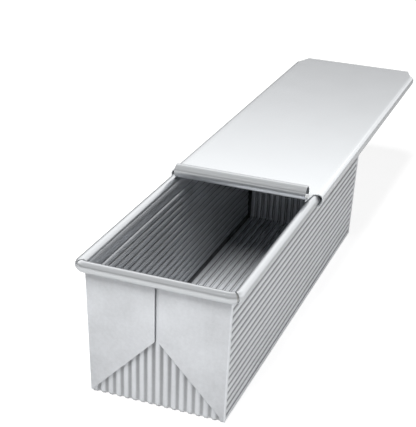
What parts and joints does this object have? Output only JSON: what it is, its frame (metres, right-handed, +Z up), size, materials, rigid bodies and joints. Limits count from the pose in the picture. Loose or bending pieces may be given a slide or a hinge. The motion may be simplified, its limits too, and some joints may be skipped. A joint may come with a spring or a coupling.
{
  "type": "loaf pan with sliding lid",
  "caption": "Long straight-sided loaf pan in ribbed folded sheet steel, with a rolled rim and a flat lid that slides along the rim on two hooked channels.",
  "frame": {"origin": "centre of the underside of the pan's base", "axes": "+X across the pan's width, +Y along its length towards the end that the lid is drawn to, +Z up"},
  "size_m": [0.124, 0.5309, 0.1141],
  "materials": {
    "pan_sheet": "satin",
    "lid_sheet": "satin",
    "rim_steel": "satin"
  },
  "bodies": {
    "pan": {"pan_body": "pan_sheet", "rim_wire": "rim_steel"},
    "lid": {"lid": "lid_sheet"}
  },
  "joints": [
    {"name": "lid_slide", "type": "slide", "parent": "pan", "child": "lid", "axis": [0, 1, 0], "range_m": [-0.172, 0.18]}
  ]
}
